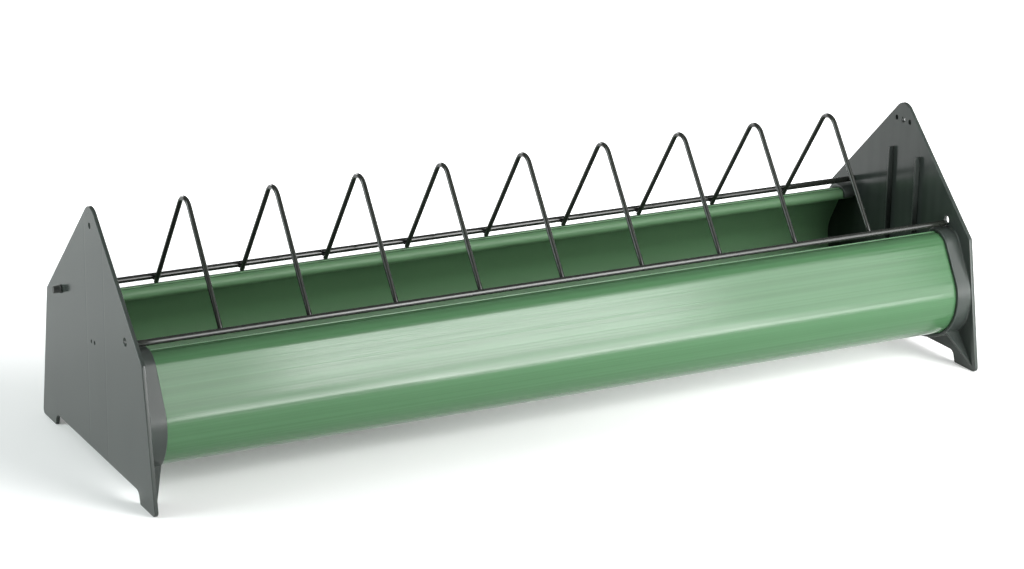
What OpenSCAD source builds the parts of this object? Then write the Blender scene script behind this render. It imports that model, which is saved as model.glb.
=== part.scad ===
// Trough feeder for chickens: an extruded trough held by two moulded end plates,
// under a hinged guard of welded wire.
// X runs along the trough, Y from front to back, Z up.
// The origin is on the ground below the middle of the trough.

/* [Feeder] */
// Length over the outer faces of the two end plates
feeder_len = 750; // [500:10:1000]
// Height of the trough's underside above the ground
ground_gap = 18; // [12:0.5:30]

/* [Trough] */
// Width of the flat strip along the bottom
floor_w = 97.2; // [70:0.2:140]
// Radius of the soft bend from the bottom into the sides
heel_r = 90; // [60:1:120]
// Angle that the soft bend turns
heel_turn = 25; // [15:1:35]
// Radius of the lower sides
side_r = 40; // [30:1:60]
// Radius of the bend where a side starts to lean in
breast_r = 30; // [20:1:50]
// Lean of the upper wall from upright
wall_lean = 30; // [20:1:36]
// Length of the straight upper wall
wall_run = 33; // [20:1:50]
// Radius of the bend into the lip
crest_r = 15; // [10:0.5:20]
// Width of the flat top of the lip
lip_flat = 4.4; // [2:0.2:8]
// Outer radius of the rolled edge
roll_r = 4.8; // [4:0.1:6]
// Angle that the rolled edge turns
roll_turn = 230; // [190:5:250]
// Thickness of the trough's wall
trough_wall = 2.2; // [1.6:0.1:2.8]

/* [End plates] */
// Thickness of a plate
plate_t = 3.2; // [2.8:0.1:5]
// Height of a plate's peak above the trough's lips
peak_rise = 95; // [80:1:120]
// Radius of the peak
peak_r = 13; // [8:0.5:20]
// Distance that the shoulders lie inside the trough's widest line
shoulder_inset = 4.4; // [0:0.2:6]
// Radius of the shoulders
shoulder_r = 3; // [1:0.5:6]
// Distance that the feet reach outside the trough's widest line
foot_spread = 15.9; // [13:0.1:24]
// Width of a foot along the ground
foot_w = 31.1; // [25:0.1:36]
// Radius of a foot's outer corner
foot_r = 4; // [2:0.5:6]
// Radius of a foot's inner corner
foot_heel_r = 1.5; // [0.5:0.5:2]
// Slant of a foot's inner side, measured along the ground
foot_slant = 3; // [1:0.5:6]
// Radius where a foot's inner side meets the bottom edge
foot_fillet_r = 6; // [3:0.5:7]
// Height of the bottom edge below the collar
skirt_h = 5; // [1:0.2:8]

/* [Sockets] */
// Depth of the collar that takes the trough's end
collar_depth = 13.4; // [8:0.2:24]
// Thickness of the collar's wall
collar_wall = 2.8; // [2.2:0.1:3.6]
// Angle of the rolled edge that the collar covers
collar_turn = 110; // [60:5:130]
// Clearance between trough and collar
socket_gap = 0.2; // [0.1:0.05:0.4]
// Clearance between the trough's ends and the plates
end_gap = 0.2; // [0.1:0.1:1]

/* [Ribs and gussets] */
// Thickness of an upright rib
rib_t = 1.8; // [1.2:0.1:3]
// Distance that a rib stands out from the plate
rib_depth = 4.6; // [3:0.2:12]
// Height of the ribs' tops above the trough's lips
rib_rise = 53; // [20:1:60]
// Place of the back rib, behind the middle
back_rib_y = 12.6; // [6:0.2:20]
// Place of the front rib, before the middle
front_rib_y = 27.1; // [20:0.2:34]
// Distance of the ribs from the trough's floor
rib_floor_gap = 3; // [1:0.5:10]
// Thickness of a gusset web
gusset_t = 2; // [1.4:0.1:3]
// Distance of a gusset's toe from the foot's outer corner
gusset_toe_in = 5.8; // [4:0.2:9]
// Height of a gusset's toe above the ground
gusset_toe_z = 4; // [2:0.5:8]

/* [Holes] */
// Diameter of the hanging hole at the peak
hang_hole_d = 4.6; // [3:0.1:6]
// Distance of the hanging hole below the peak
hang_drop = 15.2; // [12:0.2:22]
// Diameter of the blind pits beside the hanging hole
pit_d = 4; // [2:0.2:5]
// Distance of the pits from the hanging hole
pit_spread = 9.8; // [7:0.2:12]
// Depth of the pits
pit_depth = 2; // [1:0.1:2.4]
// Diameter of the open hole at the front
front_hole_d = 6.8; // [4:0.1:8]

/* [Guard] */
// Diameter of the two long rods
rod_d = 5; // [4:0.1:6]
// Diameter of the loops' wire
wire_d = 4; // [3:0.1:4.6]
// Height of the hinge rod's axis above the trough's lips
pivot_rise = 8.5; // [7.4:0.1:12]
// Distance of the rods inside the centres of the rolled edges
rod_inset = 0.7; // [0:0.1:2]
// Clearance of the hinge rod in its holes, all round
pivot_gap = 0.08; // [0.02:0.01:0.1]
// Clearance of the front rod above the collars that it rests on
rest_gap = 0.3; // [0.2:0.1:0.6]
// Distance of the front rod's ends from the plates
front_rod_gap = 1.8; // [1:0.2:6]
// Distance of the end loops from the plates' outer faces
end_space = 79; // [50:1:110]
// Height of the loops' tops above the trough's lips
loop_rise = 93; // [60:0.1:110]
// Radius of a loop's bend, at the middle of the wire
bend_r = 12; // [4:0.5:16]
// Distance of the loops' tops behind the middle
loop_lean = 3; // [0:0.5:6]
// Length that a loop's back leg runs on past the hinge rod's axis
back_foot = 3; // [1:0.2:3.4]
// Length that a loop's front leg runs on past the front rod's axis
front_foot = 1; // [0.6:0.1:1.8]
// Depth that the loops sink into the rods where they are welded
weld_sink = 0.4; // [0.2:0.1:0.6]
// Amount that the wire thins in a loop's bend, all round
bend_thinning = 0.04; // [0.02:0.01:0.1]

/* [Rod caps] */
// Length of a cap
cap_len = 6.4; // [5:0.2:12]
// Thickness of a cap's wall
cap_wall = 0.5; // [0.4:0.1:1.2]
// Thickness of a cap's end
cap_end = 1; // [0.6:0.1:2]
// Distance that a cap's flange stands out
flange_out = 0.5; // [0.4:0.05:2]
// Thickness of a cap's flange
flange_t = 1; // [0.6:0.1:2]
// Depth that a cap grips the rod
cap_grip = 0.05; // [0.02:0.01:0.1]
// Clearance between a cap and its plate
cap_gap = 0.3; // [0.2:0.1:1]

/* [Hidden] */
loop_count = 9;
right_angle = 90;
mould_black = [0.16, 0.17, 0.16];
wire_black = [0.13, 0.13, 0.12];
trough_green = [0.36, 0.58, 0.39];
// Angle of one step along the large bends and along the small ones
bend_step = 5;
curl_step = 10;
// Steps round each rounded corner of an end plate
corner_steps = 8;
// Facets of the round holes, rods and wires
round_facets = 48;
// Distance that every cut runs past the surface it cuts
overrun = 1;
// Distance that a loop's legs run on into its thinner bend
leg_overlap = 0.3;

// The end plates and the trough between them
plate_inner_x = feeder_len / 2 - plate_t;
trough_half = plate_inner_x - end_gap;

// Half of the trough's outer profile, worked out bend by bend
side_turn = right_angle - heel_turn;
crest_turn = right_angle - wall_lean;
heel_c = [floor_w / 2, ground_gap + heel_r];
side_c = heel_c + (heel_r - side_r) * outward(0, heel_turn);
breast_c = side_c + (side_r - breast_r) * [1, 0];
wall_foot = breast_c + breast_r * outward(0, right_angle + wall_lean);
wall_top = wall_foot + wall_run * [-sin(wall_lean), cos(wall_lean)];
crest_c = wall_top - crest_r * outward(0, right_angle + wall_lean);
roll_c = crest_c + [-lip_flat, crest_r - roll_r];
bulge_y = side_c[0] + side_r;
lip_z = crest_c[1] + crest_r;
collar_top_z = lip_z + socket_gap + collar_wall;

// Outline of an end plate
peak_z = lip_z + peak_rise;
shoulder_y = bulge_y - shoulder_inset;
foot_y = bulge_y + foot_spread;
foot_heel_y = foot_y - foot_w;
bottom_z = ground_gap - socket_gap - collar_wall - skirt_h;
peak_c_rise = peak_z - peak_r - lip_z;
roof_slope = atan2(peak_c_rise, shoulder_y) + asin(peak_r / norm([shoulder_y, peak_c_rise]));
peak_corner_z = peak_z - peak_r + peak_r / cos(roof_slope);

// Ribs, gussets and holes of an end plate
rib_foot_z = ground_gap + trough_wall + rib_floor_gap;
rib_top_z = lip_z + rib_rise;
gusset_toe = [foot_y - gusset_toe_in, gusset_toe_z];
gusset_dir = gusset_toe - side_c;
gusset_root = side_r + socket_gap + collar_wall / 2;
hang_z = peak_z - hang_drop;

// Rods of the guard: each is [y, z] of its axis
rod_r = rod_d / 2;
wire_r = wire_d / 2;
rod_y = roll_c[0] - rod_inset;
pivot_z = lip_z + pivot_rise;
back_rod_at = [rod_y, pivot_z];
front_rod_at = [-rod_y, collar_top_z + rest_gap + rod_r];
rod_end_x = feeder_len / 2 + cap_gap + cap_len - cap_end;

// Loops of the guard
loop_pitch = (feeder_len - 2 * end_space) / (loop_count - 1);
bend_c = [loop_lean, lip_z + loop_rise - wire_r - bend_r];
weld_reach = rod_r + wire_r - weld_sink;

// Direction away from a bend's centre after the profile has turned by an angle,
// from a start where it runs along +Y
function outward(start, turn) = [sin(start + turn), -cos(start + turn)];

// Points of a bend that starts at one heading and turns to the left.
// A bend that follows another without a straight leaves out its first point.
function bend(c, r, start, turn, step, first = 0) =
    let (steps = max(2, ceil(turn / step)))
    [for (i = [first : steps]) c + r * outward(start, turn * i / steps)];

// Half of the trough's profile, moved outwards by a distance, up to a turn of its rolled edge
function half_profile(off, last_turn) = concat(
    bend(heel_c, heel_r + off, 0, heel_turn, bend_step),
    bend(side_c, side_r + off, heel_turn, side_turn, bend_step, 1),
    bend(breast_c, breast_r + off, right_angle, wall_lean, bend_step, 1),
    bend(crest_c, crest_r + off, right_angle + wall_lean, crest_turn, bend_step),
    bend(roll_c, roll_r + off, 2 * right_angle, last_turn, curl_step)
);

function reversed(points) = [for (i = [len(points) - 1 : -1 : 0]) points[i]];

function mirrored(points) = [for (p = points) [-p[0], p[1]]];

// Ring between two offsets of the whole profile, open on top
function band(outer, inner, last_turn) = concat(
    reversed(mirrored(half_profile(outer, last_turn))),
    half_profile(outer, last_turn),
    reversed(half_profile(inner, last_turn)),
    mirrored(half_profile(inner, last_turn))
);

function unit(v) = v / norm(v);

// Arc that rounds one corner of an outline
function corner_arc(before, at, after, r) =
    let (
        u = unit(before - at),
        v = unit(after - at),
        half = acos(u * v) / 2,
        c = at + unit(u + v) * r / sin(half),
        first = at + u * r / tan(half) - c,
        last = at + v * r / tan(half) - c,
        sweep = 2 * (right_angle - half)
    )
    [for (i = [0 : corner_steps])
        c + (first * sin(sweep - sweep * i / corner_steps) + last * sin(sweep * i / corner_steps)) / sin(sweep)];

// Outline through corners that are each [y, z, radius]
function rounded(corners) = [
    for (i = [0 : len(corners) - 1])
        let (
            n = len(corners),
            before = corners[(i + n - 1) % n],
            at = corners[i],
            after = corners[(i + 1) % n]
        )
        each corner_arc([before[0], before[1]], [at[0], at[1]], [after[0], after[1]], at[2])
];

// Corners of an end plate's back half, from the bottom edge round the foot to the shoulder
plate_half = [
    [foot_heel_y - foot_slant, bottom_z, foot_fillet_r],
    [foot_heel_y, 0, foot_heel_r],
    [foot_y, 0, foot_r],
    [shoulder_y, lip_z, shoulder_r]
];
plate_corners = concat(
    plate_half,
    [[0, peak_corner_z, peak_r]],
    [for (p = reversed(plate_half)) [-p[0], p[1], p[2]]]
);

// Angle that a loop's leg leans from upright, on the side towards a rod
function leg_lean(rod) =
    let (reach = [abs(rod[0] - bend_c[0]), bend_c[1] - rod[1]])
    acos((bend_r + weld_reach) / norm(reach)) - atan2(reach[1], reach[0]);

// Turns a profile in Y and Z, drawn flat, upright, so that its thickness runs along X
module upright(x) {
    translate([x, 0, 0]) rotate([right_angle, 0, right_angle]) children();
}

// Round bar along X from one end to the other
module bar(x0, x1, at, r) {
    translate([x0, at[0], at[1]]) rotate([0, right_angle, 0]) cylinder(r = r, h = x1 - x0, $fn = round_facets);
}

module trough() {
    color(trough_green)
        upright(-trough_half) linear_extrude(2 * trough_half) polygon(band(0, -trough_wall, roll_turn));
}

// Collar round the trough's end
module collar() {
    upright(plate_inner_x - collar_depth)
        linear_extrude(collar_depth + plate_t / 2)
            polygon(band(socket_gap + collar_wall, socket_gap, collar_turn));
}

// Web from the collar to the toe of one foot
module gusset() {
    toe_r = norm(gusset_dir);
    translate([plate_inner_x, side_c[0], side_c[1]])
        rotate([atan2(gusset_dir[1], gusset_dir[0]), 0, 0])
            translate([0, 0, -gusset_t / 2])
                linear_extrude(gusset_t)
                    polygon([
                        [plate_t / 2, gusset_root],
                        [-collar_depth, gusset_root],
                        [-collar_depth, side_r + socket_gap + collar_wall],
                        [0, toe_r],
                        [plate_t / 2, toe_r]
                    ]);
}

module rib(y) {
    translate([plate_inner_x - rib_depth, y - rib_t / 2, rib_foot_z])
        cube([rib_depth + plate_t / 2, rib_t, rib_top_z - rib_foot_z]);
}

// Hole through a plate
module plate_hole(at, d) {
    bar(plate_inner_x - overrun, feeder_len / 2 + overrun, at, d / 2);
}

// The plate at the right end
module end_plate() {
    difference() {
        union() {
            upright(plate_inner_x) linear_extrude(plate_t) polygon(rounded(plate_corners));
            collar();
            rib(back_rib_y);
            rib(-front_rib_y);
            gusset();
            mirror([0, 1, 0]) gusset();
        }
        plate_hole([0, hang_z], hang_hole_d);
        plate_hole([-rod_y, pivot_z], front_hole_d);
        plate_hole(back_rod_at, rod_d + 2 * pivot_gap);
        for (side = [-1, 1]) {
            bar(plate_inner_x - overrun, plate_inner_x + pit_depth, [side * pit_spread, hang_z], pit_d / 2);
        }
    }
}

module right_end_plate() {
    color(mould_black) end_plate();
}

module left_end_plate() {
    color(mould_black) mirror([1, 0, 0]) end_plate();
}

module front_rod() {
    color(wire_black) bar(front_rod_gap - plate_inner_x, plate_inner_x - front_rod_gap, front_rod_at, rod_r);
}

module back_rod() {
    color(wire_black) bar(-rod_end_x, rod_end_x, back_rod_at, rod_r);
}

// Leg of a loop, from the bend to its foot past the rod that it is welded to.
// It is drawn towards +Y with the bend's centre at the origin.
module leg(rod, foot) {
    lean = leg_lean(rod);
    along = [sin(lean), -cos(lean)];
    reach = [abs(rod[0] - bend_c[0]), rod[1] - bend_c[1]];
    rotate([0, 0, lean])
        translate([bend_r, 0, 0])
            rotate([right_angle, 0, 0])
                translate([0, 0, -leg_overlap])
                    cylinder(r = wire_r, h = reach * along + foot + leg_overlap, $fn = round_facets);
}

// One bent loop, in the plane of its own wire
module loop_wire() {
    back_lean = leg_lean(back_rod_at);
    front_lean = leg_lean(front_rod_at);
    rotate_extrude(angle = 2 * right_angle - back_lean - front_lean, start = back_lean, $fn = round_facets)
        translate([bend_r, 0])
            circle(r = wire_r - bend_thinning, $fn = round_facets);
    leg(back_rod_at, back_foot);
    mirror([1, 0, 0]) leg(front_rod_at, front_foot);
}

module guard_loop(i) {
    color(wire_black)
        upright(end_space - feeder_len / 2 + (i - 1) * loop_pitch)
            translate([bend_c[0], bend_c[1], 0])
                loop_wire();
}

// Cap on the right end of the hinge rod
module rod_cap() {
    cap_x = feeder_len / 2 + cap_gap;
    difference() {
        union() {
            bar(cap_x, cap_x + cap_len, back_rod_at, rod_r + cap_wall);
            bar(cap_x, cap_x + flange_t, back_rod_at, rod_r + cap_wall + flange_out);
        }
        bar(cap_x - overrun, cap_x + cap_len - cap_end, back_rod_at, rod_r - cap_grip);
    }
}

module right_rod_cap() {
    color(mould_black) rod_cap();
}

module left_rod_cap() {
    color(mould_black) mirror([1, 0, 0]) rod_cap();
}

trough();
left_end_plate();
right_end_plate();
front_rod();
back_rod();
for (i = [1 : loop_count]) {
    guard_loop(i);
}
left_rod_cap();
right_rod_cap();
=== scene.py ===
import math

import bmesh
import bpy
import numpy as np
from mathutils import Matrix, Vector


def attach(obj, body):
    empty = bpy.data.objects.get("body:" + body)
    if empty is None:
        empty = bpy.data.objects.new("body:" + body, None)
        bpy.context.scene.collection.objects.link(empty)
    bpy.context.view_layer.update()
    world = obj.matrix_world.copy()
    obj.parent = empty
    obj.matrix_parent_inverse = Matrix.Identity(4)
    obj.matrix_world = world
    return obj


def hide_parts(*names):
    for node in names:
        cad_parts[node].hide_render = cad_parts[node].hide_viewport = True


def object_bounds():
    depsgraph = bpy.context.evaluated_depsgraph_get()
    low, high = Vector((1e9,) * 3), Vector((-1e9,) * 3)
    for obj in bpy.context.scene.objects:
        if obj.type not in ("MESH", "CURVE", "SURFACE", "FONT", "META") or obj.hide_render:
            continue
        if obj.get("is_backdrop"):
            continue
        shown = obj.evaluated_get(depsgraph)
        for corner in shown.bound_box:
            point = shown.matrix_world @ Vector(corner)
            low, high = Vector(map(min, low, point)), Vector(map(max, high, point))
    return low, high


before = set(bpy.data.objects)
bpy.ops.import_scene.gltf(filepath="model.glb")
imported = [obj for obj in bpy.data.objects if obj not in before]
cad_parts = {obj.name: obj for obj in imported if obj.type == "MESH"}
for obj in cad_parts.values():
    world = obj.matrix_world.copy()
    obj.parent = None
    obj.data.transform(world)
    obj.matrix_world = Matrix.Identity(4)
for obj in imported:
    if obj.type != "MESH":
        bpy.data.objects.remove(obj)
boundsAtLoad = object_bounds()
scene = bpy.context.scene
millimetre = 0.001
print("the CAD frame is loaded")


# X runs along the trough, Y from front to back, Z up.
# The settings of the pieces are in millimetres and degrees, as in the CAD part.
# The looks, the floor's glow, the lights and the camera are in metres, as Blender measures them.


def unit(vector):  # the vector divided by its length
    return vector / np.linalg.norm(vector)


def outward(heading):  # (sine, minus cosine) of the heading
    angle = np.radians(heading)
    return np.stack([np.sin(angle), -np.cos(angle)], -1)


def mirrored(pairs):  # (y, z) becomes (-y, z)
    return pairs * [-1, 1]


def roundedStations(start, end, radius, steps=4):
    # quarter circles at both ends: along = radius - radius * sine, inset = radius - radius * cosine
    angle = np.radians(np.linspace(90, 0, steps + 1))
    along = radius - radius * np.sin(angle)
    inset = radius - radius * np.cos(angle)
    return np.concatenate([start + along, end - along[::-1]]), np.concatenate([inset, inset[::-1]])


def gridFaces(stations, ring):
    # each face joins two neighbours of one closed ring with the same two of the next ring
    first = np.arange(stations - 1)[:, None] * ring
    here = np.arange(ring)[None]
    after = (here + 1) % ring
    faces = np.stack([first + here, first + after, first + ring + after, first + ring + here], -1)
    return faces.reshape(-1, 4).tolist()


def endFaces(stations, ring):  # one face over the first ring and one over the last
    return [list(range(ring))[::-1], list(range((stations - 1) * ring, stations * ring))]


def makeMesh(name, points, faces, normals=None):  # an object from points in millimetres and faces
    mesh = bpy.data.meshes.new(name)
    mesh.from_pydata((np.asarray(points) * millimetre).tolist(), [], faces)
    mesh.polygons.foreach_set("use_smooth", np.ones(len(mesh.polygons), bool))
    mesh.update()
    if normals is not None:
        mesh.normals_split_custom_set_from_vertices(normals.tolist())
    made = bpy.data.objects.new(name, mesh)
    scene.collection.objects.link(made)
    return made


def joinMeshes(name, parts):  # one object from several, which are removed
    joined = bmesh.new()
    for part in parts:
        joined.from_mesh(part.data)
        bpy.data.objects.remove(part)
    mesh = bpy.data.meshes.new(name)
    joined.to_mesh(mesh)
    joined.free()
    made = bpy.data.objects.new(name, mesh)
    scene.collection.objects.link(made)
    return made


def tube(name, path, radii, side, facets):
    # ring points = path point + radius * (cosine * side + sine * across), where across = tangent x side
    path = np.asarray(path, float)
    tangents = np.gradient(path, axis=0)
    tangents /= np.linalg.norm(tangents, axis=1)[:, None]
    across = np.cross(tangents, side)
    across /= np.linalg.norm(across, axis=1)[:, None]
    sides = np.cross(across, tangents)
    angle = np.linspace(0, 2 * math.pi, facets, endpoint=False)[None, :, None]
    ring = np.cos(angle) * sides[:, None] + np.sin(angle) * across[:, None]
    points = path[:, None] + np.asarray(radii, float)[:, None, None] * ring
    faces = gridFaces(len(path), facets) + endFaces(len(path), facets)
    return makeMesh(name, points.reshape(-1, 3), faces)


def turned(name, stations, at, facets=48):
    # a shape turned about a line along X, from (x, radius) stations: at + radius * (cosine, sine)
    x, radii = np.asarray(stations, float).T
    angle = np.linspace(0, 2 * math.pi, facets, endpoint=False)
    points = np.empty((len(x), facets, 3))
    points[:, :, 0] = x[:, None]
    points[:, :, 1] = at[0] + radii[:, None] * np.cos(angle)
    points[:, :, 2] = at[1] + radii[:, None] * np.sin(angle)
    faces = gridFaces(len(x), facets) + endFaces(len(x), facets)
    return makeMesh(name, points.reshape(-1, 3), faces)


def outline(corners, steps):
    # each corner becomes an arc that touches both its sides; points and outward directions
    points = []
    directions = []
    for i, (y, z, radius) in enumerate(corners):
        at = np.array([y, z])
        before = np.array(corners[i - 1][:2])
        after = np.array(corners[(i + 1) % len(corners)][:2])
        back = unit(before - at)
        ahead = unit(after - at)
        half = math.acos(float(back @ ahead)) / 2
        centre = at + unit(back + ahead) * radius / math.sin(half)
        first = unit(at + back * radius / math.tan(half) - centre)
        last = unit(at + ahead * radius / math.tan(half) - centre)
        sweep = math.pi - 2 * half
        share = np.linspace(0, 1, steps + 1)[:, None]
        arc = (first * np.sin(sweep * (1 - share)) + last * np.sin(sweep * share)) / math.sin(sweep)
        convex = ahead[0] * back[1] - ahead[1] * back[0] > 0
        points.append(centre + radius * arc)
        directions.append(arc if convex else -arc)
    return np.concatenate(points), np.concatenate(directions)


def slab(name, corners, low, high, rim, origin, across, up, steps):
    # an outline in the plane of across and up, made thick along their cross product, with a rounded rim
    points, directions = outline(corners, steps)
    along, inset = roundedStations(low, high, rim)
    flat = points[None] - directions[None] * inset[:, None, None]
    across, up, origin = (np.asarray(v, float) for v in (across, up, origin))
    grid = origin + flat[:, :, :1] * across + flat[:, :, 1:] * up
    grid += along[:, None, None] * np.cross(across, up)
    ring = len(points)
    faces = gridFaces(len(along), ring) + endFaces(len(along), ring)
    return makeMesh(name, grid.reshape(-1, 3), faces)


def mergeSolids(base, others, operation):
    # exact union with, or difference from, each of the others in turn, which are removed
    for other in others:
        modifier = base.modifiers.new(operation, "BOOLEAN")
        modifier.operation = operation
        modifier.solver = "EXACT"
        modifier.object = other
    bpy.context.view_layer.update()
    depsgraph = bpy.context.evaluated_depsgraph_get()
    result = bpy.data.meshes.new_from_object(base.evaluated_get(depsgraph))
    base.modifiers.clear()
    base.data = result
    for other in others:
        bpy.data.objects.remove(other)


# Materials


def newMaterial(name):
    material = bpy.data.materials.new(name)
    material.use_nodes = True
    tree = material.node_tree
    tree.nodes.clear()
    shader = tree.nodes.new("ShaderNodeBsdfPrincipled")
    end = tree.nodes.new("ShaderNodeOutputMaterial")
    tree.links.new(shader.outputs[0], end.inputs["Surface"])
    return material, tree, shader


def put(tree, kind, inputs, **options):  # a node with its options and inputs; gives its first output
    made = tree.nodes.new(kind)
    for key, value in options.items():
        setattr(made, key, value)
    for key, value in inputs.items():
        if isinstance(value, bpy.types.NodeSocket):
            tree.links.new(value, made.inputs[key])
        else:
            made.inputs[key].default_value = value
    return made.outputs[0]


def stretchedNoise(tree, scale, detail=3.0):  # noise on the object's coordinates times a scale, 0 to 1
    coordinates = tree.nodes.new("ShaderNodeTexCoord").outputs["Object"]
    placed = put(tree, "ShaderNodeMapping", {"Vector": coordinates, "Scale": scale})
    settings = {"Vector": placed, "Scale": 1.0, "Detail": detail, "Roughness": 0.6}
    return put(tree, "ShaderNodeTexNoise", settings)


def ranged(tree, value, low, high, fromLow=0.3, fromHigh=0.7):
    # a value's range, which is a noise's unless given, mapped to another
    limits = {"Value": value, "From Min": fromLow, "From Max": fromHigh, "To Min": low, "To Max": high}
    return put(tree, "ShaderNodeMapRange", limits)


def blended(tree, share, first, second):
    # two colours mixed by a share; sockets 6 and 7 of the node are its colours and output 2 their mix
    made = tree.nodes.new("ShaderNodeMix")
    made.data_type = "RGBA"
    tree.links.new(share, made.inputs[0])
    for socket, colour in ((6, first), (7, second)):
        if isinstance(colour, bpy.types.NodeSocket):
            tree.links.new(colour, made.inputs[socket])
        else:
            made.inputs[socket].default_value = (*colour, 1)
    return made.outputs[2]


def calculated(tree, operation, first, second=0.0):  # one sum on one or two values
    return put(tree, "ShaderNodeMath", {0: first, 1: second}, operation=operation)


def summed(tree, *terms):  # the sum of (value, weight) pairs
    total = 0.0
    for value, weight in terms:
        total = calculated(tree, "ADD", calculated(tree, "MULTIPLY", value, weight), total)
    return total


def bumped(tree, shader, height, distance):  # the shader's normal from a height field in metres
    bump = put(tree, "ShaderNodeBump", {"Height": height, "Strength": 1.0, "Distance": distance})
    tree.links.new(bump, shader.inputs["Normal"])


def axes(tree, output="Object"):  # the X, Y and Z of a texture coordinate
    coordinates = tree.nodes.new("ShaderNodeTexCoord").outputs[output]
    parts = tree.nodes.new("ShaderNodeSeparateXYZ")
    tree.links.new(coordinates, parts.inputs[0])
    return parts.outputs


def bandAt(tree, value, place, width):
    # 1 where a value is at a place, falling smoothly to 0 at a width from it
    away = calculated(tree, "ABSOLUTE", calculated(tree, "SUBTRACT", value, place))
    limits = {"Value": away, "From Min": 0.0, "From Max": width, "To Min": 1.0, "To Max": 0.0}
    return put(tree, "ShaderNodeMapRange", limits, interpolation_type="SMOOTHSTEP")


def troughPlastic():  # green extruded plastic with fine lines along its length; its inside is lighter, partly a dust tone and partly painted light
    look = {
        "dark": (0.036, 0.09, 0.04),
        "light": (0.049, 0.118, 0.055),
        "lineScale": (1.2, 650, 650),
        "waveScale": (0.5, 130, 130),
        "patchScale": (4, 60, 60),
        "waveDetail": 2.0,
        "patchDetail": 4.0,
        "roughness": (0.08, 0.14),
        "lineHeight": 0.00001,
        "lineWeight": 7.5,
        "waveWeight": 9,
        # the inside's colour: partly a greyer dust tone, partly painted light for light that reaches the
        # trough's inside
        "insideDustAndLight": (0.088, 0.182, 0.09),
        "dustRoughness": 0.5,
        "toneShares": (0.45, 0.55),
        "toneRange": (0.35, 0.65),
        "insideDepth": -0.03,
        "refraction": 1.36,
    }
    material, tree, shader = newMaterial("green trough plastic")
    lines = stretchedNoise(tree, look["lineScale"])
    waves = stretchedNoise(tree, look["waveScale"], look["waveDetail"])
    patches = stretchedNoise(tree, look["patchScale"], look["patchDetail"])
    tone = summed(tree, *zip((lines, waves), look["toneShares"]))
    facing = calculated(tree, "MULTIPLY", axes(tree, "Normal")["Y"], axes(tree)["Y"])
    inside = ranged(tree, facing, 1, 0, look["insideDepth"], 0.0)  # 1 on faces turned to the trough's middle
    baseTone = blended(tree, ranged(tree, tone, 0, 1, *look["toneRange"]), look["dark"], look["light"])
    # faces turned to the trough's middle are mixed to a lighter, greyer colour: partly a dust tone, partly
    # painted light standing in for light that reaches the trough's inside
    tree.links.new(blended(tree, inside, baseTone, look["insideDustAndLight"]), shader.inputs["Base Color"])
    dull = calculated(tree, "MULTIPLY", inside, look["dustRoughness"])
    gloss = calculated(tree, "MAXIMUM", ranged(tree, patches, *look["roughness"]), dull)
    tree.links.new(gloss, shader.inputs["Roughness"])
    shader.inputs["IOR"].default_value = look["refraction"]
    terms = [(lines, look["lineWeight"]), (waves, look["waveWeight"])]
    bumped(tree, shader, summed(tree, *terms), look["lineHeight"])
    return material


def platePlastic():
    # black moulded plastic with a faint orange peel, flow marks and sink lines opposite the ribs;
    # the plate itself is glossy and its collar, ribs and gussets are duller
    look = {
        "dark": (0.026, 0.032, 0.029),
        "light": (0.031, 0.038, 0.034),
        "flowScale": (60, 110, 9),
        "peelScale": (260, 260, 260),
        "flowDetail": 0.0,
        "peelDetail": 2.0,
        "faceRoughness": 0.17,
        "roughness": (0.3, 0.36),
        "faceMargin": 0.0006,
        "peelHeight": 0.000008,
        "sinkWidth": 0.0016,
        "sinkWeight": 5.0,
        "flowWeight": 0.5,
        "refraction": 1.5,
        "reflection": 0.31,
    }
    material, tree, shader = newMaterial("black plate plastic")
    flow = stretchedNoise(tree, look["flowScale"], look["flowDetail"])
    peel = stretchedNoise(tree, look["peelScale"], look["peelDetail"])
    faceFrom = innerX * millimetre - look["faceMargin"]
    matt = calculated(tree, "LESS_THAN", calculated(tree, "ABSOLUTE", axes(tree)["X"]), faceFrom)
    colour = blended(tree, ranged(tree, flow, 0, 1), look["dark"], look["light"])
    tree.links.new(colour, shader.inputs["Base Color"])
    rough = calculated(tree, "MULTIPLY", ranged(tree, flow, *look["roughness"]), matt)
    tree.links.new(calculated(tree, "MAXIMUM", rough, look["faceRoughness"]), shader.inputs["Roughness"])
    shader.inputs["IOR"].default_value = look["refraction"]
    shader.inputs["Specular IOR Level"].default_value = look["reflection"]
    places = [place * millimetre for place in plate["ribPlaces"]]
    sinks = [bandAt(tree, axes(tree)["Y"], place, look["sinkWidth"]) for place in places]
    terms = [(peel, 1.0), (flow, look["flowWeight"]), *((sink, -look["sinkWeight"]) for sink in sinks)]
    bumped(tree, shader, summed(tree, *terms), look["peelHeight"])
    return material


def guardCoating():  # black coated wire
    look = {
        "dark": (0.01, 0.012, 0.01),
        "light": (0.016, 0.018, 0.015),
        "grainScale": (260, 260, 260),
        "roughness": (0.06, 0.12),
        "grainHeight": 0.000004,
        "reflection": 0.4,
    }
    material, tree, shader = newMaterial("black wire coating")
    grain = stretchedNoise(tree, look["grainScale"])
    colour = blended(tree, ranged(tree, grain, 0, 1), look["dark"], look["light"])
    tree.links.new(colour, shader.inputs["Base Color"])
    tree.links.new(ranged(tree, grain, *look["roughness"]), shader.inputs["Roughness"])
    shader.inputs["Specular IOR Level"].default_value = look["reflection"]
    bumped(tree, shader, grain, look["grainHeight"])
    return material


def capPlastic():  # dull black plastic of the rod caps
    look = {
        "dark": (0.02, 0.022, 0.02),
        "light": (0.038, 0.04, 0.036),
        "grainScale": (900, 900, 900),
        "roughness": (0.4, 0.55),
    }
    material, tree, shader = newMaterial("dull cap plastic")
    grain = stretchedNoise(tree, look["grainScale"])
    colour = blended(tree, ranged(tree, grain, 0, 1), look["dark"], look["light"])
    tree.links.new(colour, shader.inputs["Base Color"])
    tree.links.new(ranged(tree, grain, *look["roughness"]), shader.inputs["Roughness"])
    return material


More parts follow.
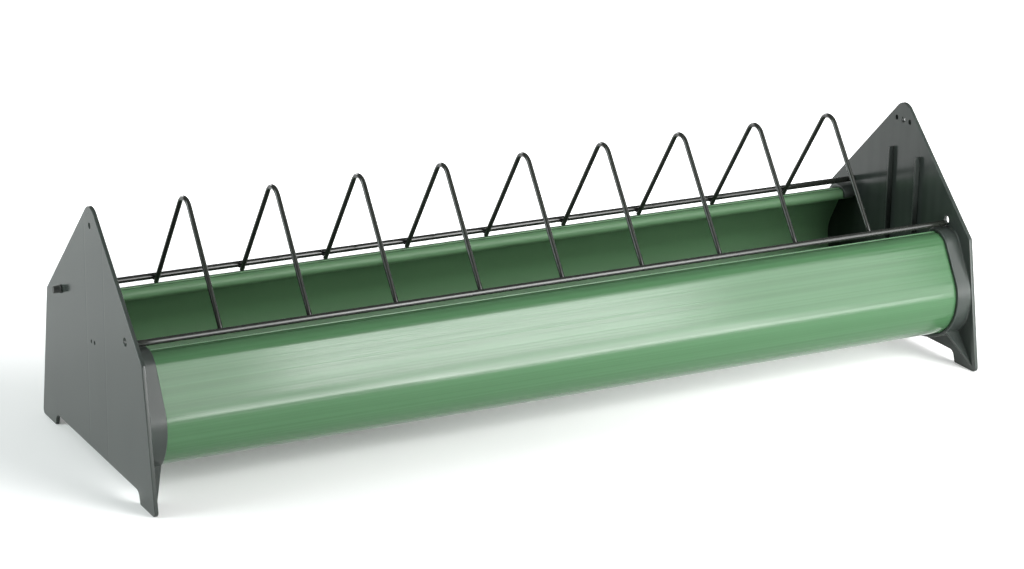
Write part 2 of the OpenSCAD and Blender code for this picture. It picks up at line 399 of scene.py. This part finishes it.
def finishPiece(made, material, slotName, body, *nodes):
    # its material, the body it rides on and the CAD nodes it stands for; slotName is not used
    made.data.materials.clear()
    made.data.materials.append(material)
    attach(made, body)
    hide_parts(*nodes)


# Trough

trough = {
    "groundGap": 18,
    "floorWidth": 97.2,
    "heelRadius": 90,
    "heelTurn": 25,
    "sideRadius": 40,
    "breastRadius": 30,
    "wallLean": 30,
    "wallRun": 33,
    "crestRadius": 15,
    "lipFlat": 4.4,
    "rollRadius": 4.8,
    "rollTurn": 230,
    "wall": 2.2,
    "halfLength": 371.6,
    "edgeRadius": 0.5,
    "beadPlace": 73.5,
    "beadHalfWidth": 0.7,
    "beadHeight": 0.8,
    "beadSteps": 10,
    "bendSteps": {"heel": 20, "side": 40, "breast": 20, "crest": 24, "roll": 36},
}
upperHeading = 90 + trough["wallLean"]
heelCentre = np.array([trough["floorWidth"] / 2, trough["groundGap"] + trough["heelRadius"]])
sideCentre = heelCentre + (trough["heelRadius"] - trough["sideRadius"]) * outward(trough["heelTurn"])
breastCentre = sideCentre + [trough["sideRadius"] - trough["breastRadius"], 0]
wallFoot = breastCentre + trough["breastRadius"] * outward(upperHeading)
wallUp = np.array([math.cos(math.radians(upperHeading)), math.sin(math.radians(upperHeading))])
crestCentre = wallFoot + trough["wallRun"] * wallUp - trough["crestRadius"] * outward(upperHeading)
rollCentre = crestCentre + [-trough["lipFlat"], trough["crestRadius"] - trough["rollRadius"]]
lipHeight = crestCentre[1] + trough["crestRadius"]
bulgeReach = sideCentre[0] + trough["sideRadius"]


def beadPoints(offset, height):
    # a low raised line on the flat of the lip: height * (1 + cosine) / 2 over its width, and its normals
    share = np.linspace(-1, 1, trough["beadSteps"] + 1)
    half = trough["beadHalfWidth"]
    rise = height * (1 + np.cos(math.pi * share)) / 2
    slope = height * math.pi / 2 * np.sin(math.pi * share) / half
    points = np.stack([trough["beadPlace"] - half * share, lipHeight + offset + rise], -1)
    normals = np.stack([-slope, np.ones(len(share))], -1)
    return points, normals / np.linalg.norm(normals, axis=1)[:, None]


def halfProfile(offset, rollTurn, beadHeight):
    # each bend: centre + (radius + offset) * outward(heading), from its first heading through its turn;
    # a bend that starts where the last one ends leaves out its first point
    bends = {
        "heel": (heelCentre, trough["heelRadius"], 0, trough["heelTurn"], 0),
        "side": (sideCentre, trough["sideRadius"], trough["heelTurn"], 90 - trough["heelTurn"], 1),
        "breast": (breastCentre, trough["breastRadius"], 90, trough["wallLean"], 1),
        "crest": (crestCentre, trough["crestRadius"], upperHeading, 90 - trough["wallLean"], 0),
        "roll": (rollCentre, trough["rollRadius"], 180, rollTurn, 0),
    }
    points = []
    directions = []
    for bend, (centre, radius, heading, turn, first) in bends.items():
        away = outward(np.linspace(heading, heading + turn, trough["bendSteps"][bend] + 1)[first:])
        if bend == "roll":
            beadAt, beadNormals = beadPoints(offset, beadHeight)
            points.append(beadAt)
            directions.append(beadNormals)
        points.append(centre + (radius + offset) * away)
        directions.append(away)
    return np.concatenate(points), np.concatenate(directions)


def bandRing(outer, inner, rollTurn, outerBead, innerBead):
    # both faces of a wall that follows the profile, with half circles where it ends in the rolled lips;
    # point i of the ring faces point (ring length - 1 - i) across the wall
    thick = (outer - inner) / 2
    middle = (outer + inner) / 2
    turn = rollTurn - math.degrees(thick / (trough["rollRadius"] + middle))
    away = outward(180 + turn)
    ahead = -np.array([math.cos(math.radians(turn)), math.sin(math.radians(turn))])
    edgeCentre = rollCentre + (trough["rollRadius"] + middle) * away
    angle = np.radians([15, 45, 75])[:, None]  # half the points of the half circle
    edgeOut = np.cos(angle) * away + np.sin(angle) * ahead
    edgeIn = -np.cos(angle) * away + np.sin(angle) * ahead
    outerPoints, outerDirections = halfProfile(outer, turn, outerBead)
    innerPoints, innerDirections = halfProfile(inner, turn, innerBead)
    rightOuter = np.concatenate([outerPoints, edgeCentre + thick * edgeOut])
    rightInner = np.concatenate([innerPoints, edgeCentre + thick * edgeIn])
    outerAway = np.concatenate([outerDirections, edgeOut])
    innerAway = np.concatenate([-innerDirections, edgeIn])
    points = np.concatenate([mirrored(rightOuter)[::-1], rightOuter, rightInner[::-1], mirrored(rightInner)])
    directions = np.concatenate([mirrored(outerAway)[::-1], outerAway, innerAway[::-1], mirrored(innerAway)])
    return points, directions


def capStrip(ring, offset, turnedRound):  # faces across the wall at one end
    here = np.arange(ring // 2 - 1)
    faces = np.stack([here, here + 1, ring - 2 - here, ring - 1 - here], -1) + offset
    return (faces[:, ::-1] if turnedRound else faces).tolist()


def makeTrough():
    # the profile's ring at stations along X, drawn in at both ends by the edge's quarter circle
    points, directions = bandRing(0, -trough["wall"], trough["rollTurn"], trough["beadHeight"], 0)
    half = trough["halfLength"]
    along, inset = roundedStations(-half, half, trough["edgeRadius"])
    ring = len(points)
    grid = np.empty((len(along), ring, 3))
    grid[:, :, 0] = along[:, None]
    grid[:, :, 1:] = points - directions * inset[:, None, None]
    lean = 1 - inset / trough["edgeRadius"]
    normals = np.empty_like(grid)
    normals[:, :, 0] = (np.sign(along) * np.sqrt(1 - lean**2))[:, None]
    normals[:, :, 1:] = directions * lean[:, None, None]
    last = (len(along) - 1) * ring
    faces = gridFaces(len(along), ring) + capStrip(ring, 0, True) + capStrip(ring, last, False)
    made = makeMesh("troughShell", grid.reshape(-1, 3), faces, normals.reshape(-1, 3))
    finishPiece(made, troughPlastic(), "trough_plastic", "feeder", "trough")


makeTrough()
print("the trough is made")

# End plates

plate = {
    "outerX": 375,
    "thickness": 3.2,
    "rim": 0.6,
    "peakRise": 95,
    "peakRadius": 13,
    "shoulderInset": 4.4,
    "shoulderRadius": 3,
    "footSpread": 15.9,
    "footWidth": 31.1,
    "footRadius": 4,
    "footHeelRadius": 1.5,
    "footSlant": 3,
    "filletRadius": 6,
    "skirt": 5,
    "outlineSteps": 12,
    "rimSteps": 5,
    "filletSteps": 6,
    "ribSteps": 6,
    "gussetSteps": 4,
    "collarDepth": 13.4,
    "collarWall": 2.8,
    "collarTurn": 110,
    "collarRim": 0.7,
    "socketGap": 0.2,
    "rootFillet": 1.1,
    "ribThickness": 1.8,
    "ribDepth": 4.6,
    "ribRise": 53,
    "ribPlaces": (12.6, -27.1),
    "ribFloorGap": 3,
    "ribFootRadius": 1.5,
    "ribTopRadius": 2,
    "rootRadius": 0.5,
    "ribRim": 0.4,
    "gussetThickness": 2,
    "gussetToeIn": 5.8,
    "gussetToeHeight": 4,
    "gussetSetback": 0.3,
    "gussetRadius": 1.2,
    "hangDrop": 15.2,
    "hangRadius": 2.3,
    "pitSpread": 9.8,
    "pitRadius": 2,
    "pitDepth": 2,
    "frontHoleRadius": 3.4,
    "hingeHoleRadius": 2.58,
    "chamfer": 0.3,
    "gatePits": ((-3.8, 100.6, 1.7), (3.4, 99.6, 1.5)),
    "gateDepth": 1.4,
    "gateFloorShare": 0.7,
    "gateFlare": 0.4,
    "gateEdge": 0.1,
    "gateOver": 0.5,
    "gateFacets": 24,
    "overrun": 1,
    "sharpAngle": 32,
}

# the guard's settings stand here because the holes in the plates follow its rods
guard = {
    "rodRadius": 2.5,
    "wireRadius": 2,
    "pivotRise": 8.5,
    "rodInset": 0.7,
    "restGap": 0.3,
    "frontRodHalf": 370,
    "backRodHalf": 380.7,
    "loopCount": 9,
    "firstLoop": -296,
    "loopPitch": 74,
    "loopRise": 93,
    "bendRadius": 12,
    "loopLean": 3,
    "backFoot": 3,
    "frontFoot": 1,
    "weldSink": 0.4,
    "wireEdge": 0.5,
    "wireFacets": 28,
    "bendSteps": 32,
    "legSteps": 8,
    "rodEdge": 0.4,
    "rodStations": 41,
    "rodFacets": 36,
    "beadHalfLength": 3.4,
    "beadRadius": 1.5,
    "beadSink": 0.1,
    "beadTip": 0.05,
    "beadSteps": 12,
    "beadFacets": 20,
}
innerX = plate["outerX"] - plate["thickness"]
plateMiddle = plate["outerX"] - plate["thickness"] / 2
peakHeight = lipHeight + plate["peakRise"]
shoulderReach = bulgeReach - plate["shoulderInset"]
footReach = bulgeReach + plate["footSpread"]
footHeel = footReach - plate["footWidth"]
bottomHeight = trough["groundGap"] - plate["socketGap"] - plate["collarWall"] - plate["skirt"]
hangHeight = peakHeight - plate["hangDrop"]
rodReach = rollCentre[0] - guard["rodInset"]
backRodAt = np.array([rodReach, lipHeight + guard["pivotRise"]])
frontRodHeight = lipHeight + plate["socketGap"] + plate["collarWall"] + guard["restGap"] + guard["rodRadius"]
frontRodAt = np.array([-rodReach, frontRodHeight])


def plateCorners():
    # (y, z, radius) of the back half's corners from the bottom edge up, the peak, then the front half's
    centreRise = plate["peakRise"] - plate["peakRadius"]
    reach = math.hypot(shoulderReach, centreRise)
    slope = math.atan2(centreRise, shoulderReach) + math.asin(plate["peakRadius"] / reach)
    peakCorner = peakHeight - plate["peakRadius"] + plate["peakRadius"] / math.cos(slope)
    backHalf = [
        (footHeel - plate["footSlant"], bottomHeight, plate["filletRadius"]),
        (footHeel, 0, plate["footHeelRadius"]),
        (footReach, 0, plate["footRadius"]),
        (shoulderReach, lipHeight, plate["shoulderRadius"]),
    ]
    frontHalf = [(-y, z, radius) for y, z, radius in reversed(backHalf)]
    return [*backHalf, (0, peakCorner, plate["peakRadius"]), *frontHalf]


def makeCollar():
    # the band at stations along X: a rounded free edge, then a fillet where the outer face meets the plate
    outer = plate["socketGap"] + plate["collarWall"]
    points, directions = bandRing(outer, plate["socketGap"], plate["collarTurn"], 0, trough["beadHeight"])
    free = innerX - plate["collarDepth"]
    rimAngle = np.radians(np.linspace(90, 0, plate["rimSteps"] + 1))
    filletAngle = np.radians(np.linspace(0, 90, plate["filletSteps"] + 1))
    rim = plate["collarRim"]
    fillet = plate["rootFillet"]
    rimAlong = free + rim - rim * np.sin(rimAngle)
    filletAlong = innerX - fillet + fillet * np.sin(filletAngle)
    filletFlare = fillet - fillet * np.cos(filletAngle)
    along = np.concatenate([rimAlong, filletAlong, [plateMiddle]])
    flare = np.concatenate([np.zeros(len(rimAlong)), filletFlare, [fillet]])
    inset = np.concatenate([rim - rim * np.cos(rimAngle), np.zeros(len(filletAlong) + 1)])
    ring = len(points)
    isOuter = (np.arange(ring) < ring // 2).astype(float)
    move = flare[:, None] * isOuter - inset[:, None]
    grid = np.empty((len(along), ring, 3))
    grid[:, :, 0] = along[:, None]
    grid[:, :, 1:] = points + directions * move[:, :, None]
    last = (len(along) - 1) * ring
    faces = gridFaces(len(along), ring) + capStrip(ring, 0, True) + capStrip(ring, last, False)
    return makeMesh("collar", grid.reshape(-1, 3), faces)


def makeRib(place):  # an upright bar on the inner face, with four rounded corners
    free = innerX - plate["ribDepth"]
    low = trough["groundGap"] + trough["wall"] + plate["ribFloorGap"]
    high = lipHeight + plate["ribRise"]
    corners = [
        (free, low, plate["ribFootRadius"]),
        (plateMiddle, low, plate["rootRadius"]),
        (plateMiddle, high, plate["rootRadius"]),
        (free, high, plate["ribTopRadius"]),
    ]
    half = plate["ribThickness"] / 2
    spread = ((0, place, 0), (1, 0, 0), (0, 0, 1))
    return slab("rib", corners, -half, half, plate["ribRim"], *spread, plate["ribSteps"])


def makeGusset(side):  # a web in the plane through the lower side's centre and the foot's toe
    toe = np.array([footReach - plate["gussetToeIn"], plate["gussetToeHeight"]])
    away = unit(toe - sideCentre)
    toeReach = float(np.linalg.norm(toe - sideCentre))
    face = trough["sideRadius"] + plate["socketGap"] + plate["collarWall"]
    root = face - plate["collarWall"] / 2
    free = innerX - plate["collarDepth"] + plate["gussetSetback"]
    corners = [
        (plateMiddle, root, plate["rootRadius"]),
        (plateMiddle, toeReach, plate["rootRadius"]),
        (innerX, toeReach, plate["rootRadius"]),
        (free, face, plate["gussetRadius"]),
        (free, root, plate["rootRadius"]),
    ]
    half = plate["gussetThickness"] / 2
    spread = ((0, side * sideCentre[0], sideCentre[1]), (1, 0, 0), (0, side * away[0], away[1]))
    return slab("gusset", corners, -half, half, plate["ribRim"], *spread, plate["gussetSteps"])


def chamferedMouth(radius):  # stations of a cutter that opens at the plate's inner face
    chamfer = plate["chamfer"]
    over = plate["overrun"]
    return [(innerX - over, radius + chamfer + over), (innerX, radius + chamfer), (innerX + chamfer, radius)]


def holeCutter(at, radius):  # a through hole that opens in the same way at both faces of the plate
    mouth = chamferedMouth(radius)
    faces = innerX + plate["outerX"]
    return turned("cutter", mouth + [(faces - x, wide) for x, wide in reversed(mouth)], at)


def pitCutter(side):  # a blind pit beside the hanging hole, with a chamfered floor
    floor = innerX + plate["pitDepth"]
    chamfer = plate["chamfer"]
    bottom = [(floor - chamfer, plate["pitRadius"]), (floor, plate["pitRadius"] - chamfer)]
    at = (side * plate["pitSpread"], hangHeight)
    return turned("cutter", chamferedMouth(plate["pitRadius"]) + bottom, at)


def gatePit(y, z, radius):  # a small blind pit in the outer face, left where the mould was fed
    outer = plate["outerX"]
    flare = plate["gateFlare"]
    floor = (outer - plate["gateDepth"], radius * plate["gateFloorShare"])
    mouth = [(outer - plate["gateEdge"], radius), (outer + plate["gateOver"], radius + flare)]
    return turned("cutter", [floor, *mouth], (y, z), plate["gateFacets"])


def makePlates():  # one plate with all that stands on it, less its holes and pits, and its mirror image
    spread = ((0, 0, 0), (0, 1, 0), (0, 0, 1))
    thick = (innerX, plate["outerX"], plate["rim"])
    right = slab("rightPlate", plateCorners(), *thick, *spread, plate["outlineSteps"])
    ribs = [makeRib(place) for place in plate["ribPlaces"]]
    mergeSolids(right, [makeCollar(), *ribs, makeGusset(1), makeGusset(-1)], "UNION")
    cutters = [
        holeCutter((0, hangHeight), plate["hangRadius"]),
        holeCutter((-rodReach, backRodAt[1]), plate["frontHoleRadius"]),
        holeCutter(backRodAt, plate["hingeHoleRadius"]),
        pitCutter(1),
        pitCutter(-1),
        *[gatePit(*pit) for pit in plate["gatePits"]],
    ]
    mergeSolids(right, cutters, "DIFFERENCE")
    left = bpy.data.objects.new("leftPlate", right.data.copy())  # the mirror image, x becomes -x
    scene.collection.objects.link(left)
    points = np.empty(len(left.data.vertices) * 3, np.float32)
    left.data.vertices.foreach_get("co", points)
    points[::3] *= -1
    left.data.vertices.foreach_set("co", points)
    left.data.flip_normals()
    plastic = platePlastic()
    for made, node in ((right, "right_end_plate"), (left, "left_end_plate")):
        made.data.polygons.foreach_set("use_smooth", np.ones(len(made.data.polygons), bool))
        made.data.set_sharp_from_angle(angle=math.radians(plate["sharpAngle"]))
        weighted = made.modifiers.new("weighted normals", "WEIGHTED_NORMAL")
        weighted.keep_sharp = True
        weighted.weight = 100
        finishPiece(made, plastic, "plate_plastic", "feeder", node)


makePlates()
print("the end plates are made")

# Guard

bendHeight = lipHeight + guard["loopRise"] - guard["wireRadius"] - guard["bendRadius"]
bendCentre = np.array([guard["loopLean"], bendHeight])


def legLean(rod):  # turn from upright at which a leg touches both the bend and the inner side of its rod
    reach = np.array([abs(rod[0] - bendCentre[0]), bendCentre[1] - rod[1]])
    weldReach = guard["rodRadius"] + guard["wireRadius"] - guard["weldSink"]
    touch = math.acos((guard["bendRadius"] + weldReach) / np.linalg.norm(reach))
    return touch - math.atan2(reach[1], reach[0])


def legPoints(rod, side, foot):
    # a leg's foot, the point where it meets the bend and its way down, all (y, z), and its turn from upright
    lean = legLean(rod)
    along = np.array([math.sin(lean), -math.cos(lean)])
    start = guard["bendRadius"] * np.array([math.cos(lean), math.sin(lean)])
    reach = np.array([abs(rod[0] - bendCentre[0]), rod[1] - bendCentre[1]])
    length = float(reach @ along) + foot
    flip = np.array([side, 1])
    return bendCentre + (start + along * length) * flip, bendCentre + start * flip, along * flip, lean


def weldBead(x, rod, leg, side):
    # a small long bead where a leg crosses its rod: x = -half length * cosine, radius = its radius * sine
    inwards = unit(np.array([-side * abs(leg[1]), -abs(leg[0])]))
    centre = rod + inwards * (guard["rodRadius"] - guard["beadSink"])
    angle = np.linspace(guard["beadTip"], math.pi - guard["beadTip"], guard["beadSteps"] + 1)
    along = x - guard["beadHalfLength"] * np.cos(angle)
    stations = np.stack([along, guard["beadRadius"] * np.sin(angle)], -1)
    return turned("bead", stations, centre, guard["beadFacets"])


def makeLoop(number, coating):
    # a wire along a leg, the bend's arc and the other leg; both legs meet the arc without a corner
    x = guard["firstLoop"] + guard["loopPitch"] * (number - 1)
    frontFoot, frontTop, frontAlong, frontLean = legPoints(frontRodAt, -1, guard["frontFoot"])
    backFoot, backTop, backAlong, backLean = legPoints(backRodAt, 1, guard["backFoot"])
    angle = np.linspace(math.pi - frontLean, backLean, guard["bendSteps"] + 1)[:, None]
    bend = bendCentre + guard["bendRadius"] * np.concatenate([np.cos(angle), np.sin(angle)], 1)
    share = np.linspace(0, 1, guard["legSteps"] + 1)[1:-1, None]
    edge = guard["wireEdge"]
    tipAngle = np.radians([90, 60, 30, 0])  # the wire's ends are rounded by a quarter circle
    tip = edge * (1 - np.sin(tipAngle))[:, None]
    front = np.concatenate([frontFoot - frontAlong * tip, frontFoot + (frontTop - frontFoot) * share])
    back = np.concatenate([backTop + (backFoot - backTop) * share, (backFoot - backAlong * tip)[::-1]])
    path = np.concatenate([front, bend, back])
    radii = np.full(len(path), float(guard["wireRadius"]))
    tipCount = len(tipAngle)
    radii[:tipCount] -= edge * (1 - np.cos(tipAngle))
    radii[-tipCount:] = radii[:tipCount][::-1]
    points = np.column_stack([np.full(len(path), x), path])
    wire = tube("wire", points, radii, (1, 0, 0), guard["wireFacets"])
    beads = [weldBead(x, frontRodAt, frontAlong, -1), weldBead(x, backRodAt, backAlong, 1)]
    made = joinMeshes(f"loop{number}", [wire, *beads])
    finishPiece(made, coating, "guard_wire", "guard", f"guard_loop_{number}")


def makeRod(name, half, at, coating, node):  # a round bar with rounded ends, in even lengths between them
    along, inset = roundedStations(-half, half, guard["rodEdge"])
    between = np.linspace(-half, half, guard["rodStations"])[1:-1]
    middle = len(along) // 2
    x = np.concatenate([along[:middle], between, along[middle:]])
    radii = guard["rodRadius"] - np.concatenate([inset[:middle], np.zeros(len(between)), inset[middle:]])
    made = turned(name, np.stack([x, radii], -1), at, guard["rodFacets"])
    finishPiece(made, coating, "guard_wire", "guard", node)


wireCoating = guardCoating()
for number in range(1, guard["loopCount"] + 1):
    makeLoop(number, wireCoating)
makeRod("frontRod", guard["frontRodHalf"], frontRodAt, wireCoating, "front_rod")
makeRod("backRod", guard["backRodHalf"], backRodAt, wireCoating, "back_rod")
print("the guard is made")

# Rod caps

cap = {
    "gap": 0.3,
    "length": 6.4,
    "wall": 0.5,
    "flangeOut": 0.5,
    "flangeThickness": 1,
    "edge": 0.3,
    "edgeShare": 0.3,
    "boreOverlap": 0.2,
    "rootRounding": ((0.05, 0.15), (0.3, 0)),
    "endRounding": ((0.6, 0.08), (0.25, 0.2), (0.05, 0.5), (0, 0.9)),
    "endDimple": 0.3,
}


def makeCap(side, plastic):
    # from the plate outwards: a flange with rounded edges, a sleeve, and a rounded end
    start = plate["outerX"] + cap["gap"]
    end = start + cap["length"]
    sleeve = guard["rodRadius"] + cap["wall"]
    flange = sleeve + cap["flangeOut"]
    edge = cap["edge"]
    bevel = edge * cap["edgeShare"]
    flangeEnd = start + cap["flangeThickness"]
    halfFlange = [(0, flange - edge), (bevel, flange - bevel), (edge, flange)]
    stations = [
        (start, guard["rodRadius"] - cap["boreOverlap"]),
        *((start + step, radius) for step, radius in halfFlange),
        *((flangeEnd - step, radius) for step, radius in reversed(halfFlange)),
        *((flangeEnd + step, sleeve + rise) for step, rise in cap["rootRounding"]),
        *((end - step, sleeve - drop) for step, drop in cap["endRounding"]),
        (end, cap["endDimple"]),
    ]
    placed = [(side * x, radius) for x, radius in stations][::side]
    name, node = ("rightCap", "right_rod_cap") if side > 0 else ("leftCap", "left_rod_cap")
    finishPiece(turned(name, placed, backRodAt), plastic, "cap_plastic", "guard", node)


dullPlastic = capPlastic()
makeCap(1, dullPlastic)
makeCap(-1, dullPlastic)
print("the rod caps are made")

# Floor, light and camera

# A softbox is its name, place, the point it faces, width and height, power and colour.
studio = {
    "floorSize": 40,
    "floorColour": (0.9, 0.9, 0.9),
    "floorGrain": (6, 6, 6),
    "floorGrainShade": 0.99,
    "floorRoughness": 0.9,
    "floorGlow": (0.12, 0.9),
    "glowPlace": (-0.3, 0.2, 0),
    "glowReach": (0.4, 1.7),
    "poolGlow": 0.85,
    "poolPlace": (0.25, 0.6, 0),
    "poolReach": (0.2, 0.75),
    "skyFront": 0.19,
    "skyBehind": 0.2,
    "skyAcross": (-0.2, 0.3),
    "skyOverhead": 0.32,
    "skyRise": (0.35, 0.7),
    "cameraAzimuth": -27.843,
    "cameraElevation": 18.054,
    "cameraRoll": 0.801,
    "cameraPlace": (-1.10691, -2.07472, 0.86086),
    "focalPixels": 2995.95,
    "imageWidth": 1024,
    "sensor": 36,
    "clip": (0.05, 100),
    "softboxes": (
        ("front softbox", (0.685, -1.355, 0.658), (0.1, 0, 0.1), (1.145, 1.18), 27.5, (1, 1, 1)),
        ("soft top", (0.682, -1.04, 1.288), (0.1, 0, 0.1), (1.275, 0.22), 3.2, (1, 1, 1)),
        ("bright middle", (0.657, -1.37, 0.658), (0.1, 0, 0.1), (0.53, 1.18), 10.1, (1, 1, 1)),
        ("upper streak", (0.6, -1.15, 0.94), (0.6, 0, 0.1), (0.62, 0.08), 1.6, (1, 1, 1)),
        ("lower half", (0.663, -1.543, 0.31), (0.1, 0, 0.1), (0.925, 0.4), 4, (1, 1, 1)),
        ("low streak", (0.5, -0.8, 0.07), (0.5, 0, 0.08), (0.65, 0.11), 2.5, (1, 1, 1)),
        ("low left streak", (0.03, -0.8, 0.11), (0.03, 0, 0.1), (0.35, 0.14), 1.1, (1, 1, 1)),
        ("back softbox", (-0.5, 2.6, 0.9), (0, 0, 0.1), (1.8, 1), 26, (1, 1, 1)),
        ("left softbox", (-2.2, 0.5, 0.9), (-0.37, 0, 0.1), (1.2, 1.4), 42, (0.9, 1, 0.98)),
    ),
}


def distanceFrom(tree, place):  # how far a point of the surface is from a place, in metres
    coordinates = tree.nodes.new("ShaderNodeTexCoord").outputs["Object"]
    away = put(tree, "ShaderNodeVectorMath", {0: coordinates, 1: place}, operation="SUBTRACT")
    length = tree.nodes.new("ShaderNodeVectorMath")
    length.operation = "LENGTH"
    tree.links.new(away, length.inputs[0])
    return length.outputs["Value"]


def makeFloor():  # pale, with a glow that grows away from the feeder and a brighter pool behind it
    material, tree, shader = newMaterial("pale floor")
    grain = stretchedNoise(tree, studio["floorGrain"])
    base = studio["floorColour"]
    shaded = tuple(studio["floorGrainShade"] * c for c in base)
    colour = blended(tree, ranged(tree, grain, 0, 1), base, shaded)
    tree.links.new(colour, shader.inputs["Base Color"])
    tree.links.new(colour, shader.inputs["Emission Color"])
    fromPool = distanceFrom(tree, studio["poolPlace"])
    pool = ranged(tree, fromPool, studio["poolGlow"], 0, *studio["poolReach"])
    fromMiddle = distanceFrom(tree, studio["glowPlace"])
    spread = ranged(tree, fromMiddle, *studio["floorGlow"], *studio["glowReach"])
    tree.links.new(summed(tree, (spread, 1.0), (pool, 1.0)), shader.inputs["Emission Strength"])
    shader.inputs["Roughness"].default_value = studio["floorRoughness"]
    half = studio["floorSize"] / millimetre / 2
    corners = [(-half, -half, 0), (half, -half, 0), (half, half, 0), (-half, half, 0)]
    floor = makeMesh("floor", corners, [[0, 1, 2, 3]])
    floor.data.materials.append(material)
    floor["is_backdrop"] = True


def makeWorld():  # white all round, with its own strength in front, behind and overhead
    world = bpy.data.worlds.new("studio")
    world.use_nodes = True
    tree = world.node_tree
    background = tree.nodes["Background"]
    direction = axes(tree, "Generated")
    low = ranged(tree, direction["Y"], studio["skyFront"], studio["skyBehind"], *studio["skyAcross"])
    high = ranged(tree, direction["Z"], 0, 1, *studio["skyRise"])
    lowPart = calculated(tree, "MULTIPLY", low, calculated(tree, "SUBTRACT", 1.0, high))
    strength = summed(tree, (lowPart, 1.0), (high, studio["skyOverhead"]))
    tree.links.new(strength, background.inputs["Strength"])
    background.inputs["Color"].default_value = (1, 1, 1, 1)
    scene.world = world


def turnedTo(side, lift, backward, place):  # the matrix of an object that looks against backward
    turn = np.eye(4)
    turn[:3] = np.stack([side, lift, backward, place], 1)
    return Matrix(turn.tolist())


def makeSoftbox(name, place, target, size, power, colour):  # a flat light that faces a target
    light = bpy.data.lights.new(name, "AREA")
    light.color = colour
    light.shape = "RECTANGLE"
    light.size, light.size_y = size
    light.energy = power
    backward = unit(np.asarray(place, float) - np.asarray(target, float))
    side = unit(np.cross((0.0, 0.0, 1.0), backward))
    made = bpy.data.objects.new(name, light)
    scene.collection.objects.link(made)
    made.matrix_world = turnedTo(side, np.cross(backward, side), backward, place)


def makeCamera():
    azimuth = math.radians(studio["cameraAzimuth"])
    elevation = math.radians(studio["cameraElevation"])
    roll = math.radians(studio["cameraRoll"])
    flat = math.cos(elevation)
    back = np.array([math.sin(azimuth) * flat, -math.cos(azimuth) * flat, math.sin(elevation)])
    side = unit(np.cross(-back, (0, 0, 1)))
    lift = np.cross(side, -back)
    rolledSide = math.cos(roll) * side + math.sin(roll) * lift
    rolledLift = math.cos(roll) * lift - math.sin(roll) * side
    camera = bpy.data.cameras.new("camera")
    camera.sensor_width = studio["sensor"]
    camera.lens = studio["sensor"] * studio["focalPixels"] / studio["imageWidth"]
    camera.clip_start, camera.clip_end = studio["clip"]
    made = bpy.data.objects.new("camera", camera)
    scene.collection.objects.link(made)
    made.matrix_world = turnedTo(rolledSide, rolledLift, back, studio["cameraPlace"])
    scene.camera = made


makeFloor()
makeWorld()
for softbox in studio["softboxes"]:
    makeSoftbox(*softbox)
makeCamera()
scene.view_settings.view_transform = "Standard"
print("the studio is ready")

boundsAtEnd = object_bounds()
for title, box in (("visual", boundsAtEnd), ("CAD", boundsAtLoad)):
    print(title, "box in metres", [[round(c, 4) for c in v] for v in box])
